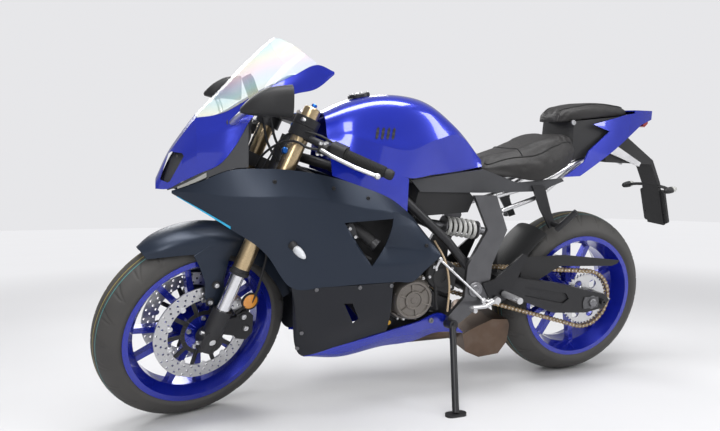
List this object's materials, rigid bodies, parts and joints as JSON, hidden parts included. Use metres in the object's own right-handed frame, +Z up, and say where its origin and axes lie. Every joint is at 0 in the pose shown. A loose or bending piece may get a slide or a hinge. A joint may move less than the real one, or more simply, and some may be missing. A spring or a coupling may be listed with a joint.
{
  "type": "sport motorcycle",
  "caption": "Faired sport motorcycle leaning on its side stand, with steering, free-turning cast wheels and a folding stand.",
  "frame": {"origin": "centre of the bounding box's underside, on the ground the bike stands on", "axes": "+X towards the front of the bike, +Y to the rider's left, +Z up; the bike leans left on its stand"},
  "size_m": [2.1086, 0.7444, 1.1614],
  "materials": {
    "tyre_rubber": "matt",
    "wheel_blue": "metallic gloss",
    "disc_steel": "ground",
    "chain_bronze": "oiled",
    "fork_gold": "anodised",
    "fork_chrome": "polished",
    "dark_metal": "satin",
    "silver_metal": "satin",
    "cover_bronze": "satin",
    "body_blue": "gloss",
    "body_dark": "matt",
    "trim_black": "matt",
    "radiator_black": "matt",
    "muffler_steel": "heat tinted",
    "spring_white": "gloss",
    "shock_grey": "satin",
    "hose_rubber": "matt",
    "seat_vinyl": "grained",
    "clear_screen": "clear",
    "lamp_clear": "clear",
    "lamp_red": "gloss",
    "lamp_amber": "gloss"
  },
  "bodies": {
    "chassis": {"airbox": "trim_black", "belly_strips": "body_blue", "chain": "chain_bronze", "dash": "trim_black", "engine_block": "dark_metal", "engine_covers": "cover_bronze", "exhaust": "muffler_steel", "frame": "dark_metal", "front_cowl": "body_blue", "front_lamps": "lamp_clear", "fuel_cap": "silver_metal", "fuel_tank": "body_blue", "inner_cowl": "trim_black", "lower_fairings": "body_dark", "mirrors": "trim_black", "passenger_brackets": "dark_metal", "pillion_seat": "seat_vinyl", "pivot_plates": "silver_metal", "plate_holder": "trim_black", "radiator": "radiator_black", "rear_axle": "silver_metal", "rear_caliper": "dark_metal", "rear_guards": "trim_black", "rearsets": "silver_metal", "rider_seat": "seat_vinyl", "shock_body": "shock_grey", "shock_spring": "spring_white", "side_covers": "trim_black", "side_fairings": "body_dark", "spool_bosses": "silver_metal", "stand_bracket": "dark_metal", "subframe": "silver_metal", "swingarm": "dark_metal", "tail_cowl": "body_blue", "tail_light": "lamp_red", "tank_side_panels": "body_blue", "turn_signals": "lamp_amber", "undertray": "trim_black", "windscreen": "clear_screen"},
    "steering": {"front_axle": "silver_metal", "fork_outer_tubes": "fork_gold", "fork_inner_tubes": "fork_chrome", "fork_bottoms": "dark_metal", "fork_clamps": "dark_metal", "clip_ons": "dark_metal", "grips": "hose_rubber", "bar_controls": "trim_black", "levers": "silver_metal", "front_fender": "body_dark", "front_calipers": "dark_metal", "brake_hoses": "hose_rubber"},
    "front_wheel": {"front_tyre": "tyre_rubber", "front_rim": "wheel_blue", "front_discs": "disc_steel"},
    "rear_wheel": {"rear_tyre": "tyre_rubber", "rear_rim": "wheel_blue", "rear_disc": "disc_steel", "rear_sprocket": "disc_steel"},
    "side_stand": {"side_stand": "dark_metal"}
  },
  "joints": [
    {"name": "steering", "type": "hinge", "parent": "chassis", "child": "steering", "pos_m": [0.45947, 0.00724, 0.90462], "axis": [-0.3992, 0.1324, 0.9073], "range_deg": [-42, 0]},
    {"name": "front_wheel_spin", "type": "hinge", "parent": "steering", "child": "front_wheel", "pos_m": [0.76756, -0.0685, 0.2907], "axis": [-0.3286, 0.9032, -0.2763], "continuous": true},
    {"name": "rear_wheel_spin", "type": "hinge", "parent": "chassis", "child": "rear_wheel", "pos_m": [-0.62506, -0.07911, 0.31272], "axis": [0, 0.9895, -0.1444], "continuous": true},
    {"name": "side_stand_fold", "type": "hinge", "parent": "chassis", "child": "side_stand", "pos_m": [-0.03815, 0.09485, 0.25825], "axis": [-0.1215, 0.9912, 0.0525], "range_deg": [0, 95]}
  ]
}
